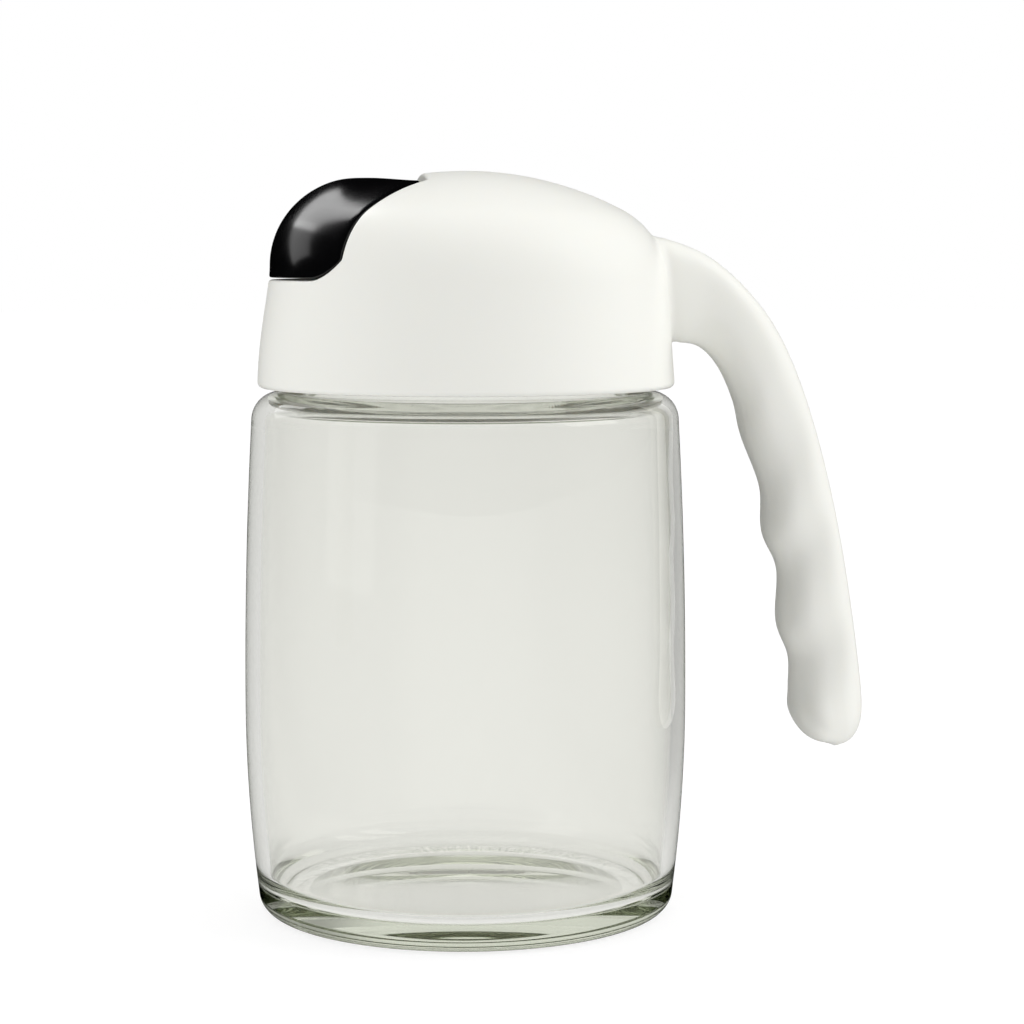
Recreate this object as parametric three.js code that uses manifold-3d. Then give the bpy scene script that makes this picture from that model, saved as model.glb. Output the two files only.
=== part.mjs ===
// Oil dispenser bottle: a clear glass jar under a white domed cap, whose handle runs down the back
// and whose black flap lifts off the pouring lip at the front.
// Millimetres, +Z up. The origin is the middle of the jar's base. The pouring side faces -X,
// the handle is on +X, and the left and right halves mirror each other across Y = 0.
import * as THREE from 'three';
import { mergeVertices } from 'three/addons/utils/BufferGeometryUtils.js';
import Module from 'manifold-3d';

const wasm = await Module();
wasm.setup();

// Jar
const BELLY_RADIUS = 47.2;
const BELLY_HEIGHT = 45;
const UPPER_WALL_BULGE = 1045;
const LOWER_WALL_BULGE = 320;
const GLASS_WALL = 3;
const BASE_THICKNESS = 5.5;
const FOOT_ROUNDING = 4.2;
const SHOULDER_START = 105.4;
const SHOULDER_ROUNDING = 6;
const NECK_RADIUS = 38.6;
const MOUTH_RADIUS = 35.2;
const LIP_HEIGHT = 124;
const LIP_ROUNDING = 1.2;
const INNER_WALL_DROP = 8;
const INNER_WALL_LIFT = 4;
const WALL_STEPS = { outside: 9, inside: 7 };
const ROUNDING_STEPS = 4;
const LIP_STEPS = 2;

// Dome of the cap: a leaning skirt, a rounded shoulder and a nearly flat crown
const CAP_EDGE = 112.3;
const SKIRT_RADIUS = 44.6;
const SKIRT_LEAN = 0.0745;
const DOME_TOP = 157.9;
const CROWN_RADIUS = 72;
const DOME_SHOULDER = 17.8;
const CAP_WALL = 2.4;

// Pouring side, where the dome swells up to a blunt brow
const BROW_CREST = { reach: 21.8, height: 156.6 };
const BROW_FRONT = { reach: 41.3, height: 138 };
const BROW_EDGE_REACH = 44.1;
const BROW_BEND = { reach: 43.9, height: 124 };
const BROW_BEND_DROP = 5;
const BROW_BACK = 12;
const BROW_HALF_ANGLE = THREE.MathUtils.degToRad(45);

// Flap over the pouring lip
const FLAP_WALL = 2.2;
const FLAP_BACK = 10.8;
const FLAP_BACK_DROP = 1;
const FLAP_BACK_LENGTH = 13;
const FLAP_BACK_HALF_WIDTH = 14.4;
const FLAP_SIDE = { reach: 28.6, halfWidth: 31 };
const FLAP_SIDE_BEND = { reach: 18.5, halfWidth: 19.8 };
const FLAP_EDGE = 135.5;
const FLAP_CORNER = 6;
const FLAP_GAP = 0.45;
const FLAP_BACK_GAP = 1.5;
const FLAP_TOP_STEP = 2;
// The fan's slanted side runs back and outwards at about 37 degrees, so it grows by these shares
const FAN_SLANT = { back: 0.6, side: 0.8 };

// Hinge barrel under the flap's back edge, with a stub at each end
const HINGE = { reach: 13.8, height: 152.85 };
const BARREL_RADIUS = 2.2;
const STUB_RADIUS = 0.75;
const STUB_HALF_LENGTH = 18;
const SOCKET_RADIUS = 1;
const SOCKET_HALF_LENGTH = 18.4;

// Deck under the flap, and the oval pouring lip on it
const DECK_DEPTH = 7;
const DECK_WALL = 2.2;
const DECK_RIM = 3.2;
const DECK_FLOOR = 133;
const LIP_CENTRE = { reach: 31, height: 142.2 };
const LIP_OPENING = { width: 18, height: 8.4 };
const LIP_RING = 1.5;
const LIP_BACK = 5;
const LIP_FRONT = 3.8;
const LIP_CLEARANCE = 1;

// Ring inside the cap that sits on the jar's lip
const SEAT_INNER_RADIUS = 35.4;
const SEAT_THICKNESS = 2.4;
const SEAT_GAP = 0.3;

// Handle: its back and its grip with shallow places for the fingers, seen from the side as
// distance from the axis and height, both from the dome down to the tip
const HANDLE_WIDTH = 18;
const HANDLE_SQUARENESS = 2.8;
const HANDLE_TIP_LENGTH = 7;
const HANDLE_TIP_WIDTH_SHARE = 0.5;
const HANDLE_BACK = [[36, 145.6], [51.1, 140.5], [62.7, 130.3], [70.4, 117.4], [77, 98], [81.9, 76.2],
  [85.3, 54.2], [86.4, 42], [84.6, 36], [80.4, 33.8]];
const HANDLE_GRIP = [[36, 121.6], [44.6, 121.6], [50.5, 120.6], [55, 116], [58.4, 108.5], [60.2, 101],
  [64.3, 90], [65, 80], [68.2, 72], [68.3, 60.5], [70.9, 53], [71.2, 46], [71.6, 40.6], [74.6, 35.8],
  [79.2, 33.8]];

const TURN_STEPS = 48;
const DOME_STEPS = 20;
const HANDLE_STEPS = 36;
const SECTION_STEPS = 14;
const ROD_SIDES = 16;
const FAN_CURVE_STEPS = 8;
const CORNER_CURVE_STEPS = 5;
const OVAL_CURVE_STEPS = 10;
const FAR = 70;

// Solids and how they are joined

function solidOf(geometry) {
  const bare = geometry.clone();
  bare.deleteAttribute('normal');
  bare.deleteAttribute('uv');
  const merged = mergeVertices(bare, 1e-4);
  const index = merged.index.array;
  const triangles = [];
  for (let i = 0; i < index.length; i += 3) {
    const [a, b, c] = [index[i], index[i + 1], index[i + 2]];
    if (a !== b && b !== c && c !== a) triangles.push(a, b, c);
  }
  const mesh = new wasm.Mesh({
    numProp: 3,
    vertProperties: new Float32Array(merged.attributes.position.array),
    triVerts: new Uint32Array(triangles),
  });
  return new wasm.Manifold(mesh);
}

function geometryOf(solid) {
  const mesh = solid.getMesh();
  const geometry = new THREE.BufferGeometry();
  geometry.setAttribute('position', new THREE.BufferAttribute(mesh.vertProperties, 3));
  geometry.setIndex(new THREE.BufferAttribute(mesh.triVerts, 1));
  return geometry;
}

// A profile of (radius, height) points turned once around the Z axis
function turned(profile) {
  return new THREE.LatheGeometry(profile, TURN_STEPS).rotateX(Math.PI / 2);
}

// Closed skin through rings that have the same number of points, with a fan over each end
function lofted(rings) {
  const count = rings[0].length;
  const middle = (ring) => ring.reduce((sum, p) => sum.add(p), new THREE.Vector3()).divideScalar(count);
  const ends = [middle(rings[0]), middle(rings[rings.length - 1])];
  const points = [...rings.flat(), ...ends];
  const last = (rings.length - 1) * count;
  const index = [];
  for (let i = 0; i < count; i++) {
    const next = (i + 1) % count;
    for (let at = 0; at < last; at += count) {
      index.push(at + i, at + count + next, at + next, at + i, at + count + i, at + count + next);
    }
    index.push(points.length - 2, i, next, points.length - 1, last + next, last + i);
  }
  return new THREE.BufferGeometry().setFromPoints(points).setIndex(index);
}

// Glass jar

function wallRadius(height) {
  const bulge = height > BELLY_HEIGHT ? UPPER_WALL_BULGE : LOWER_WALL_BULGE;
  return BELLY_RADIUS - (height - BELLY_HEIGHT) ** 2 / (2 * bulge);
}

function rounded(path, centre, radius, from, to, steps) {
  for (let i = 0; i <= steps; i++) {
    const angle = THREE.MathUtils.degToRad(from + (to - from) * i / steps);
    path.push(new THREE.Vector2(centre.x + radius * Math.cos(angle), centre.y + radius * Math.sin(angle)));
  }
}

function wallPoints(from, to, inset, steps) {
  return Array.from({ length: steps + 1 }, (_, i) => {
    const height = from + (to - from) * i / steps;
    return new THREE.Vector2(wallRadius(height) - inset, height);
  });
}

function jarProfile() {
  const innerFoot = FOOT_ROUNDING + 1;
  const innerShoulder = SHOULDER_ROUNDING - GLASS_WALL;
  const lip = { x: NECK_RADIUS - LIP_ROUNDING, y: LIP_HEIGHT - LIP_ROUNDING };
  const profile = [new THREE.Vector2(0, 0)];
  const outerCorner = { x: wallRadius(FOOT_ROUNDING) - FOOT_ROUNDING, y: FOOT_ROUNDING };
  rounded(profile, outerCorner, FOOT_ROUNDING, -90, -15, ROUNDING_STEPS);
  profile.push(...wallPoints(2 * FOOT_ROUNDING, SHOULDER_START, 0, WALL_STEPS.outside));
  const shoulder = { x: wallRadius(SHOULDER_START) - SHOULDER_ROUNDING, y: SHOULDER_START };
  rounded(profile, shoulder, SHOULDER_ROUNDING, 18, 90, ROUNDING_STEPS);
  profile.push(new THREE.Vector2(NECK_RADIUS, SHOULDER_START + SHOULDER_ROUNDING));
  rounded(profile, lip, LIP_ROUNDING, 0, 90, LIP_STEPS);
  profile.push(new THREE.Vector2(MOUTH_RADIUS, LIP_HEIGHT));
  profile.push(new THREE.Vector2(MOUTH_RADIUS, SHOULDER_START + innerShoulder));
  rounded(profile, shoulder, innerShoulder, 90, 0, ROUNDING_STEPS - 1);
  const floor = BASE_THICKNESS;
  const wallTop = SHOULDER_START - INNER_WALL_DROP;
  const wallLow = floor + innerFoot + INNER_WALL_LIFT;
  profile.push(...wallPoints(wallTop, wallLow, GLASS_WALL, WALL_STEPS.inside));
  const innerRadius = wallRadius(floor + innerFoot) - GLASS_WALL;
  const innerCorner = { x: innerRadius - innerFoot, y: floor + innerFoot };
  rounded(profile, innerCorner, innerFoot, 0, -90, ROUNDING_STEPS);
  profile.push(new THREE.Vector2(0, floor));
  return profile;
}

// Dome of the cap and its brow

function crownHeight(radius) {
  return DOME_TOP - CROWN_RADIUS + Math.sqrt(CROWN_RADIUS ** 2 - radius ** 2);
}

// Centre of the shoulder's rounding, which touches the leaning skirt and the crown from inside
function shoulderCentre() {
  const lean = SKIRT_LEAN;
  const crownCentre = DOME_TOP - CROWN_RADIUS;
  const reach = SKIRT_RADIUS + lean * CAP_EDGE - DOME_SHOULDER * Math.hypot(1, lean);
  const a = 1 + lean ** 2;
  const b = -2 * (reach * lean + crownCentre);
  const c = reach ** 2 + crownCentre ** 2 - (CROWN_RADIUS - DOME_SHOULDER) ** 2;
  const height = (-b + Math.sqrt(b ** 2 - 4 * a * c)) / (2 * a);
  return { reach: reach - lean * height, height };
}

function domeOutline() {
  const centre = shoulderCentre();
  const crownCentre = DOME_TOP - CROWN_RADIUS;
  const path = new THREE.Path();
  const skirtAngle = Math.atan(SKIRT_LEAN);
  const crownAngle = Math.atan2(centre.height - crownCentre, centre.reach);
  path.moveTo(SKIRT_RADIUS, CAP_EDGE);
  path.lineTo(
    centre.reach + DOME_SHOULDER * Math.cos(skirtAngle),
    centre.height + DOME_SHOULDER * Math.sin(skirtAngle),
  );
  path.absarc(centre.reach, centre.height, DOME_SHOULDER, skirtAngle, crownAngle);
  path.absarc(0, crownCentre, CROWN_RADIUS, crownAngle, Math.PI / 2);
  return path.getSpacedPoints(DOME_STEPS);
}

function browOutline() {
  const crownCentre = DOME_TOP - CROWN_RADIUS;
  const { reach, height } = BROW_CREST;
  const path = new THREE.Path();
  path.moveTo(BROW_EDGE_REACH, CAP_EDGE);
  path.bezierCurveTo(
    BROW_BEND.reach, BROW_BEND.height,
    BROW_FRONT.reach, BROW_FRONT.height - BROW_BEND_DROP,
    BROW_FRONT.reach, BROW_FRONT.height,
  );
  const depth = BROW_FRONT.reach - reach;
  const rise = height - BROW_FRONT.height;
  path.absellipse(reach, BROW_FRONT.height, depth, rise, 0, Math.PI / 2);
  path.lineTo(BROW_BACK, crownHeight(BROW_BACK));
  path.absarc(0, crownCentre, CROWN_RADIUS, Math.acos(BROW_BACK / CROWN_RADIUS), Math.PI / 2);
  return path.getSpacedPoints(DOME_STEPS);
}

function insetOutline(points, inset) {
  return points.map((point, i) => {
    const before = points[Math.max(i - 1, 0)];
    const after = points[Math.min(i + 1, points.length - 1)];
    const along = new THREE.Vector2().subVectors(after, before).normalize();
    const moved = new THREE.Vector2(point.x - along.y * inset, point.y + along.x * inset);
    if (i === points.length - 1) moved.x = 0;
    return moved;
  });
}

// Solid under the dome's surface, or under a surface that lies inset below it, from floor height up.
// Around the pouring side each turned outline changes smoothly into the brow's outline.
function domeSolid(inset, floor) {
  const closed = (points) => {
    const surface = insetOutline(points, inset);
    surface[0].y = Math.max(surface[0].y, floor + 1);
    return [new THREE.Vector2(0, floor), new THREE.Vector2(surface[0].x, floor), ...surface];
  };
  const dome = closed(domeOutline());
  const brow = closed(browOutline());
  const geometry = turned(dome);
  const position = geometry.attributes.position;
  for (let i = 0; i < position.count; i++) {
    const step = i % dome.length;
    const angle = Math.atan2(position.getY(i), position.getX(i));
    const fromFront = (Math.PI - Math.abs(angle)) / BROW_HALF_ANGLE;
    const share = fromFront < 1 ? Math.cos(fromFront * Math.PI / 2) ** 2 : 0;
    const point = dome[step].clone().lerp(brow[step], share);
    position.setXYZ(i, point.x * Math.cos(angle), point.x * Math.sin(angle), point.y);
  }
  return solidOf(geometry);
}

// Flap

// Height of the flap's top, which is straight from left to right and dips a little towards the hinge
function flapTopHeight(reach) {
  const back = Math.min(1, Math.max(0, BROW_CREST.reach - reach) / FLAP_BACK_LENGTH);
  return BROW_CREST.height - FLAP_BACK_DROP * (1 - Math.cos(Math.PI * back)) / 2;
}

// Space under the flap's top, lowered by drop
function underFlapTop(drop) {
  const shape = new THREE.Shape();
  shape.moveTo(0, CAP_EDGE);
  shape.lineTo(-FAR, CAP_EDGE);
  shape.lineTo(-FAR, BROW_CREST.height - drop);
  for (let reach = BROW_CREST.reach; reach > 0; reach -= FLAP_TOP_STEP) {
    shape.lineTo(-reach, flapTopHeight(reach) - drop);
  }
  shape.lineTo(0, flapTopHeight(0) - drop);
  const space = new THREE.ExtrudeGeometry(shape, { depth: 2 * FAR, bevelEnabled: false });
  return solidOf(space.translate(0, 0, -FAR).rotateX(Math.PI / 2));
}

// Fan seen from above, with rounded lower corners seen from the front, made larger all round by grow
function fanSolid(back, edge, grow) {
  const plan = new THREE.Shape();
  const backWidth = FLAP_BACK_HALF_WIDTH + grow;
  const frontWidth = FLAP_SIDE.halfWidth + grow;
  const backShift = FAN_SLANT.back * grow;
  const sideReach = FLAP_SIDE.reach - backShift;
  const bend = {
    reach: FLAP_SIDE_BEND.reach - backShift,
    halfWidth: FLAP_SIDE_BEND.halfWidth + FAN_SLANT.side * grow,
  };
  plan.moveTo(-back, backWidth);
  plan.quadraticCurveTo(-bend.reach, bend.halfWidth, -sideReach, frontWidth);
  plan.lineTo(-FAR, frontWidth);
  plan.lineTo(-FAR, -frontWidth);
  plan.lineTo(-sideReach, -frontWidth);
  plan.quadraticCurveTo(-bend.reach, -bend.halfWidth, -back, -backWidth);
  const column = new THREE.ExtrudeGeometry(plan, {
    depth: FAR, bevelEnabled: false, curveSegments: FAN_CURVE_STEPS,
  });
  column.translate(0, 0, CAP_EDGE);

  const front = new THREE.Shape();
  front.moveTo(-frontWidth, 2 * CAP_EDGE);
  front.lineTo(-frontWidth, edge + FLAP_CORNER);
  front.absarc(FLAP_CORNER - frontWidth, edge + FLAP_CORNER, FLAP_CORNER, Math.PI, 1.5 * Math.PI);
  front.absarc(frontWidth - FLAP_CORNER, edge + FLAP_CORNER, FLAP_CORNER, 1.5 * Math.PI, 2 * Math.PI);
  front.lineTo(frontWidth, 2 * CAP_EDGE);
  const tunnel = new THREE.ExtrudeGeometry(front, {
    depth: 2 * FAR, bevelEnabled: false, curveSegments: CORNER_CURVE_STEPS,
  });
  tunnel.translate(0, 0, -FAR).rotateX(Math.PI / 2).rotateZ(Math.PI / 2);
  return solidOf(column).intersect(solidOf(tunnel));
}

function hingeRod(radius, halfLength) {
  const rod = new THREE.CylinderGeometry(radius, radius, 2 * halfLength, ROD_SIDES);
  return solidOf(rod.translate(-HINGE.reach, 0, HINGE.height));
}

function flapGeometry() {
  const outside = domeSolid(0, CAP_EDGE - 1).intersect(underFlapTop(0));
  const inside = domeSolid(FLAP_WALL, CAP_EDGE - 2).intersect(underFlapTop(FLAP_WALL));
  const shell = outside.subtract(inside).intersect(fanSolid(FLAP_BACK, FLAP_EDGE, 0));
  const barrel = hingeRod(BARREL_RADIUS, FLAP_BACK_HALF_WIDTH);
  const stubs = hingeRod(STUB_RADIUS, STUB_HALF_LENGTH);
  return geometryOf(shell.add(barrel).add(stubs));
}

// Cap

function recessSolid() {
  const fan = fanSolid(FLAP_BACK - FLAP_BACK_GAP, FLAP_EDGE - FLAP_GAP, FLAP_GAP);
  return fan.subtract(domeSolid(DECK_DEPTH, CAP_EDGE - 2));
}

function deckSolid() {
  const fan = fanSolid(FLAP_BACK - FLAP_BACK_GAP - DECK_RIM, DECK_FLOOR, FLAP_GAP + DECK_RIM);
  const block = fan.intersect(domeSolid(0, CAP_EDGE));
  return block.subtract(domeSolid(DECK_DEPTH + DECK_WALL, CAP_EDGE - 2));
}

// An oval bar through the deck's front, level, as the oil leaves
function lipBar(width, height) {
  const oval = new THREE.Shape();
  oval.absellipse(0, 0, width / 2, height / 2, 0, 2 * Math.PI);
  const bar = new THREE.ExtrudeGeometry(oval, {
    depth: LIP_BACK + LIP_FRONT, bevelEnabled: false, curveSegments: OVAL_CURVE_STEPS,
  });
  bar.translate(0, 0, -LIP_BACK).rotateX(Math.PI / 2).rotateZ(-Math.PI / 2);
  return solidOf(bar.translate(-LIP_CENTRE.reach, 0, LIP_CENTRE.height));
}

function seatSolid() {
  const low = LIP_HEIGHT + SEAT_GAP;
  const high = low + SEAT_THICKNESS;
  const outer = SKIRT_RADIUS - SKIRT_LEAN * (low - CAP_EDGE) - CAP_WALL / 2;
  const ring = [[SEAT_INNER_RADIUS, low], [outer, low], [outer, high], [SEAT_INNER_RADIUS, high]];
  const profile = [...ring, ring[0]].map(([radius, height]) => new THREE.Vector2(radius, height));
  return solidOf(turned(profile));
}

// The handle is a rounded bar: each section runs from the grip to the back and is HANDLE_WIDTH wide
function handleSolid() {
  const curve = (points) => new THREE.SplineCurve(points.map((point) => new THREE.Vector2(...point)));
  const back = curve(HANDLE_BACK).getSpacedPoints(HANDLE_STEPS);
  const grip = curve(HANDLE_GRIP).getSpacedPoints(HANDLE_STEPS);
  const tip = HANDLE_BACK[HANDLE_BACK.length - 1][1];
  const power = 2 / HANDLE_SQUARENESS;
  const softened = (value) => Math.sign(value) * Math.abs(value) ** power;
  const rings = back.map((outer, i) => {
    const inner = grip[i];
    const centre = outer.clone().add(inner).divideScalar(2);
    const half = outer.clone().sub(inner).divideScalar(2);
    const aboveTip = Math.min(1, (centre.y - tip) / HANDLE_TIP_LENGTH);
    const fullness = Math.sqrt(1 - (1 - aboveTip) ** 2);
    const share = HANDLE_TIP_WIDTH_SHARE + (1 - HANDLE_TIP_WIDTH_SHARE) * fullness;
    const halfWidth = share * HANDLE_WIDTH / 2;
    return Array.from({ length: SECTION_STEPS }, (_, k) => {
      const angle = 2 * Math.PI * k / SECTION_STEPS;
      const depth = softened(Math.cos(angle));
      return new THREE.Vector3(
        centre.x + depth * half.x,
        halfWidth * softened(Math.sin(angle)),
        centre.y + depth * half.y,
      );
    });
  });
  return solidOf(lofted(rings));
}

function capGeometry() {
  const hollow = domeSolid(CAP_WALL, CAP_EDGE - 2);
  const outside = domeSolid(0, CAP_EDGE);
  const shell = outside.subtract(hollow);
  const handle = handleSolid().subtract(hollow);
  const lip = lipBar(LIP_OPENING.width + 2 * LIP_RING, LIP_OPENING.height + 2 * LIP_RING)
    .intersect(domeSolid(FLAP_WALL + LIP_CLEARANCE, CAP_EDGE - 2));
  const opening = lipBar(LIP_OPENING.width, LIP_OPENING.height);
  const cap = shell.add(deckSolid())
    .subtract(recessSolid())
    .subtract(hingeRod(SOCKET_RADIUS, SOCKET_HALF_LENGTH))
    .add(seatSolid())
    .add(handle)
    .add(lip)
    .subtract(opening);
  return geometryOf(cap);
}

// The bottle

function piece(name, geometry, look) {
  const mesh = new THREE.Mesh(geometry, new THREE.MeshStandardMaterial(look));
  mesh.name = name;
  return mesh;
}

const group = new THREE.Group();
group.add(
  piece('glass_jar', turned(jarProfile()), { color: 0xdfe2dc, roughness: 0.05, metalness: 0 }),
  piece('cap', capGeometry(), { color: 0xf1f1ea, roughness: 0.3, metalness: 0 }),
  piece('flap', flapGeometry(), { color: 0x161617, roughness: 0.25, metalness: 0 }),
);

export default group;
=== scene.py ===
import math

import bmesh
import bpy
import numpy as np
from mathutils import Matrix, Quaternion, Vector
from mathutils.geometry import delaunay_2d_cdt


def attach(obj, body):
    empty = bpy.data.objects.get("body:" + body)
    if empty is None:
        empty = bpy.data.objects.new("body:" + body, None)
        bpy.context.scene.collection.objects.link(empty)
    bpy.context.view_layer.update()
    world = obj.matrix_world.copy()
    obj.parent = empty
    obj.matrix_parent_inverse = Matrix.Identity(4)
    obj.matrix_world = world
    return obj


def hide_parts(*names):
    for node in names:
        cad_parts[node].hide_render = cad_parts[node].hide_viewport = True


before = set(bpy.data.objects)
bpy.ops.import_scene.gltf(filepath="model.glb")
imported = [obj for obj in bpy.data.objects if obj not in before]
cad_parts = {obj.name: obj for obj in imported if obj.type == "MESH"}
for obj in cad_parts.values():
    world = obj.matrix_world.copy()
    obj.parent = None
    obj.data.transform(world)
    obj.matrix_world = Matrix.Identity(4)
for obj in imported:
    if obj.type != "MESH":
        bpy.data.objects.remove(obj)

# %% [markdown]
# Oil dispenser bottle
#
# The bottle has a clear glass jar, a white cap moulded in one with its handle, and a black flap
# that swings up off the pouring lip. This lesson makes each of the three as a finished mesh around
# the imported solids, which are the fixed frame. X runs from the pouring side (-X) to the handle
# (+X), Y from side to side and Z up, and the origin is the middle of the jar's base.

MM = 0.001
bpy.context.view_layer.update()

# %% [markdown]
# Colours and nodes
#
# Each material is a few shader nodes. Colours are written as the hex values that a paint chart or
# a photo editor shows, and turned to the linear values that a renderer works with in one place.
# One function adds a node, sets it and links it, so a material reads as a short list. A link
# comes from a socket, or from a node, whose first output is then meant.

# %% Colours and nodes


def linear(code):
    """Linear RGBA of an sRGB hex colour such as F2F2EC."""
    parts = [int(code[i:i + 2], 16) / 255 for i in (0, 2, 4)]
    lit = [c / 12.92 if c <= 0.04045 else ((c + 0.055) / 1.055) ** 2.4 for c in parts]
    return (*lit, 1.0)


def add_node(tree, kind, values=None, links=None, **settings):
    """Adds a node, sets its properties and socket values, and links its inputs."""
    node = tree.nodes.new(kind)
    for name, value in settings.items():
        setattr(node, name, value)
    for socket, value in (values or {}).items():
        node.inputs[socket].default_value = value
    for socket, source in (links or {}).items():
        first = source.outputs[0] if isinstance(source, bpy.types.Node) else source
        tree.links.new(first, node.inputs[socket])
    return node


def new_material(name):
    """A material and its empty node tree."""
    material = bpy.data.materials.new(name)
    material.use_nodes = True
    material.node_tree.nodes.clear()
    return material, material.node_tree


print("Warm white in linear values:", [round(c, 3) for c in linear("F2F2EC")])

# %% [markdown]
# Clear soda-lime glass
#
# Jars are pressed from soda-lime glass, which bends light by an index of 1.52. Iron in the sand
# tints it a faint grey-green that only shows where light runs a long way through it: at the edges
# and in the thick base. So the tint is in the volume, not on the surface. The mould and the fire
# leave a slow waviness of a few centimetres and a tenth of a millimetre, which makes the
# reflections swim a little. A bump gives that.

# %% Glass


def glass_material():
    """Pressed soda-lime glass, polished, with a slow waviness and a grey-green depth."""
    material, tree = new_material("clear_soda_lime_glass")
    place = add_node(tree, "ShaderNodeTexCoord").outputs["Object"]
    wave = add_node(tree, "ShaderNodeTexNoise",
                    {"Scale": 1 / WAVE_LENGTH, "Detail": 1.0, "Roughness": 0.4}, {"Vector": place})
    bump = add_node(tree, "ShaderNodeBump", {"Strength": 0.5, "Distance": WAVE_HEIGHT}, {"Height": wave})
    surface = add_node(tree, "ShaderNodeBsdfPrincipled",
                       {"Base Color": linear("F2F2EF"), "Roughness": 0.0, "IOR": 1.52,
                        "Transmission Weight": 1.0},
                       {"Normal": bump})
    depth = add_node(tree, "ShaderNodeVolumeAbsorption",
                     {"Color": linear("C0C8AA"), "Density": GLASS_DEPTH})
    add_node(tree, "ShaderNodeOutputMaterial", links={"Surface": surface, "Volume": depth})
    return material


WAVE_LENGTH = 30 * MM
WAVE_HEIGHT = 0.12 * MM
GLASS_DEPTH = 9.0
clear_glass = glass_material()
print("Glass: waves", round(WAVE_LENGTH / MM), "mm long")

# %% [markdown]
# Warm white polypropylene
#
# The cap is injection moulded in polypropylene, a slightly waxy plastic: warm white, a little
# see-through at thin edges, with the soft satin gloss of a finely polished mould. A very fine
# unevenness breaks the gloss up, and the roughness changes a little over some centimetres, as it
# does where hands and cloths have been.

# %% White plastic


def white_material():
    """Injection moulded polypropylene, warm white, satin gloss with a fine unevenness."""
    material, tree = new_material("white_moulded_polypropylene")
    place = add_node(tree, "ShaderNodeTexCoord").outputs["Object"]
    fine = add_node(tree, "ShaderNodeTexNoise",
                    {"Scale": 1 / WHITE_GRAIN, "Detail": 2.0}, {"Vector": place})
    patch = add_node(tree, "ShaderNodeTexNoise",
                     {"Scale": 1 / WHITE_PATCH, "Detail": 2.0}, {"Vector": place})
    gloss = add_node(tree, "ShaderNodeMapRange",
                     {"From Min": 0.25, "From Max": 0.75, "To Min": 0.285, "To Max": 0.35},
                     {"Value": patch})
    bump = add_node(tree, "ShaderNodeBump", {"Strength": 0.25, "Distance": WHITE_GRAIN_HEIGHT},
                    {"Height": fine})
    surface = add_node(tree, "ShaderNodeBsdfPrincipled",
                       {"Base Color": linear("F4F4EE"), "IOR": 1.49,
                        "Subsurface Weight": 0.12, "Subsurface Scale": 2 * MM,
                        "Subsurface Radius": (1.0, 0.9, 0.75)},
                       {"Roughness": gloss, "Normal": bump})
    add_node(tree, "ShaderNodeOutputMaterial", links={"Surface": surface})
    return material


WHITE_GRAIN = 1.2 * MM
WHITE_GRAIN_HEIGHT = 0.02 * MM
WHITE_PATCH = 40 * MM
white_plastic = white_material()
print("White plastic: grain", round(WHITE_GRAIN / MM, 1), "mm")

# %% [markdown]
# Black gloss plastic
#
# The flap is a separate moulding in black ABS from a polished mould: a near-black that mirrors
# the lights in soft-edged bands. Its reflections bend slightly where the wall behind has shrunk,
# and a fine haze of handling dulls them in places.

# %% Black plastic


def black_material():
    """Injection moulded ABS, black and glossy, with slightly wavy reflections."""
    material, tree = new_material("black_gloss_abs")
    place = add_node(tree, "ShaderNodeTexCoord").outputs["Object"]
    slow = add_node(tree, "ShaderNodeTexNoise",
                    {"Scale": 1 / BLACK_WAVE, "Detail": 1.0}, {"Vector": place})
    haze = add_node(tree, "ShaderNodeTexNoise",
                    {"Scale": 1 / BLACK_HAZE, "Detail": 3.0}, {"Vector": place})
    gloss = add_node(tree, "ShaderNodeMapRange",
                     {"From Min": 0.35, "From Max": 0.75, "To Min": 0.14, "To Max": 0.2},
                     {"Value": haze})
    bump = add_node(tree, "ShaderNodeBump", {"Strength": 0.3, "Distance": BLACK_WAVE_HEIGHT},
                    {"Height": slow})
    surface = add_node(tree, "ShaderNodeBsdfPrincipled",
                       {"Base Color": linear("060607"), "IOR": 1.53},
                       {"Roughness": gloss, "Normal": bump})
    add_node(tree, "ShaderNodeOutputMaterial", links={"Surface": surface})
    return material


BLACK_WAVE = 12 * MM
BLACK_WAVE_HEIGHT = 0.05 * MM
BLACK_HAZE = 9 * MM
black_plastic = black_material()
print("Black plastic: waves", round(BLACK_WAVE / MM), "mm long")

# %% [markdown]
# From points to an object
#
# Every shape below is worked out in millimetres with numpy, then turned to metres in one place.
# The object stays at the origin, unturned and unscaled, with its place in its mesh. Modifiers are
# made plain mesh at once. A closed mesh has its doubles merged before its faces are turned
# outwards, so that light knows where glass begins.

# %% Objects


def mesh_object(name, points, faces, material):
    """A smooth-shaded mesh object from points in millimetres."""
    mesh = bpy.data.meshes.new(name)
    mesh.from_pydata([tuple(p) for p in np.asarray(points) * MM], [], faces)
    mesh.validate()
    mesh.materials.append(material)
    mesh.shade_smooth()
    made = bpy.data.objects.new(name, mesh)
    bpy.context.scene.collection.objects.link(made)
    return made


def plain_mesh(made):
    """Turns an object's modifiers into its mesh."""
    seen = bpy.context.evaluated_depsgraph_get()
    finished = bpy.data.meshes.new_from_object(made.evaluated_get(seen))
    made.modifiers.clear()
    made.data = finished
    return made


def joined_with(made, other, operation):
    """Cuts or joins made with another closed mesh, which is then removed."""
    step = made.modifiers.new(operation, "BOOLEAN")
    step.operation = operation
    step.solver = "EXACT"
    step.object = other
    plain_mesh(made)
    bpy.data.objects.remove(other)
    return made


MERGING_DISTANCE = 0.004 * MM
ML_PER_CUBIC_METRE = 1e6


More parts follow.
